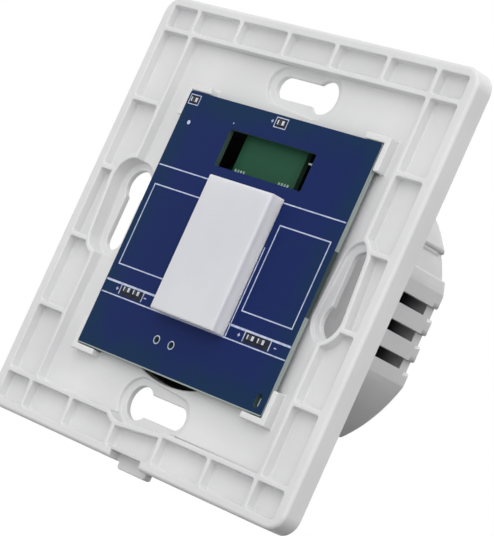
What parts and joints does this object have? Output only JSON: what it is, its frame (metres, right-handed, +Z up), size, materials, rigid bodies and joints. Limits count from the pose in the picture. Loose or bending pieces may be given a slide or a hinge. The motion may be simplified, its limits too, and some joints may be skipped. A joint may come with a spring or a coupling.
{
  "type": "touch light switch",
  "caption": "Square wall switch with a ribbed white frame, keyhole slots, a blue touch board with a raised white cap, and a vented rear housing with screw terminals.",
  "frame": {"origin": "middle of the wall plane, on which the rim of the frame rests", "axes": "+X right, +Y into the wall, +Z up; the touch board faces -Y"},
  "size_m": [0.082, 0.0336, 0.0832],
  "materials": {
    "white_plastic": "satin moulded",
    "blue_board": "solder resist",
    "green_board": "solder resist",
    "black_plastic": "matt moulded",
    "lamp_resin": "clear resin",
    "gold_pin": "plated",
    "tin_can": "drawn",
    "relay_case": "moulded",
    "sleeve": "shrunk sleeve",
    "ferrite": "sintered",
    "ceramic": "coated",
    "blue_coating": "dipped",
    "terminal_plastic": "moulded",
    "brass_bar": "stamped",
    "zinc_steel": "zinc plated"
  },
  "bodies": {
    "switch": {"base_frame": "white_plastic", "centre_cover": "white_plastic", "rear_housing": "white_plastic", "touch_board": "blue_board", "radio_board": "green_board", "power_board": "green_board", "touch_chip": "black_plastic", "link_header": "black_plastic", "link_socket": "black_plastic", "zone_leds": "lamp_resin", "status_leds": "lamp_resin", "link_pins": "gold_pin", "radio_pins": "gold_pin", "radio_shield": "tin_can", "relay_left": "relay_case", "relay_right": "relay_case", "capacitor": "sleeve", "transformer": "ferrite", "fuse": "ceramic", "varistor": "blue_coating", "terminal_block": "terminal_plastic", "contact_bars": "brass_bar", "housing_screws": "zinc_steel"},
    "screw_1": {"terminal_screw_1": "zinc_steel"},
    "cage_1": {"clamp_cage_1": "zinc_steel"},
    "screw_2": {"terminal_screw_2": "zinc_steel"},
    "cage_2": {"clamp_cage_2": "zinc_steel"},
    "screw_3": {"terminal_screw_3": "zinc_steel"},
    "cage_3": {"clamp_cage_3": "zinc_steel"},
    "screw_4": {"terminal_screw_4": "zinc_steel"},
    "cage_4": {"clamp_cage_4": "zinc_steel"}
  },
  "joints": [
    {"name": "screw_turn_1", "type": "hinge", "parent": "switch", "child": "screw_1", "pos_m": [-0.0096, 0.0232, -0.016], "axis": [0, -1, 0], "range_deg": [0, 1296]},
    {"name": "cage_rise_1", "type": "slide", "parent": "switch", "child": "cage_1", "axis": [0, 1, 0], "range_m": [0, 0.0018]},
    {"name": "screw_turn_2", "type": "hinge", "parent": "switch", "child": "screw_2", "pos_m": [-0.0032, 0.0232, -0.016], "axis": [0, -1, 0], "range_deg": [0, 1296]},
    {"name": "cage_rise_2", "type": "slide", "parent": "switch", "child": "cage_2", "axis": [0, 1, 0], "range_m": [0, 0.0018]},
    {"name": "screw_turn_3", "type": "hinge", "parent": "switch", "child": "screw_3", "pos_m": [0.0032, 0.0232, -0.016], "axis": [0, -1, 0], "range_deg": [0, 1296]},
    {"name": "cage_rise_3", "type": "slide", "parent": "switch", "child": "cage_3", "axis": [0, 1, 0], "range_m": [0, 0.0018]},
    {"name": "screw_turn_4", "type": "hinge", "parent": "switch", "child": "screw_4", "pos_m": [0.0096, 0.0232, -0.016], "axis": [0, -1, 0], "range_deg": [0, 1296]},
    {"name": "cage_rise_4", "type": "slide", "parent": "switch", "child": "cage_4", "axis": [0, 1, 0], "range_m": [0, 0.0018]}
  ],
  "couplings": [
    {"joint": "screw_turn_1", "follows": "cage_rise_1", "rad_per_m": 12566},
    {"joint": "screw_turn_2", "follows": "cage_rise_2", "rad_per_m": 12566},
    {"joint": "screw_turn_3", "follows": "cage_rise_3", "rad_per_m": 12566},
    {"joint": "screw_turn_4", "follows": "cage_rise_4", "rad_per_m": 12566}
  ]
}
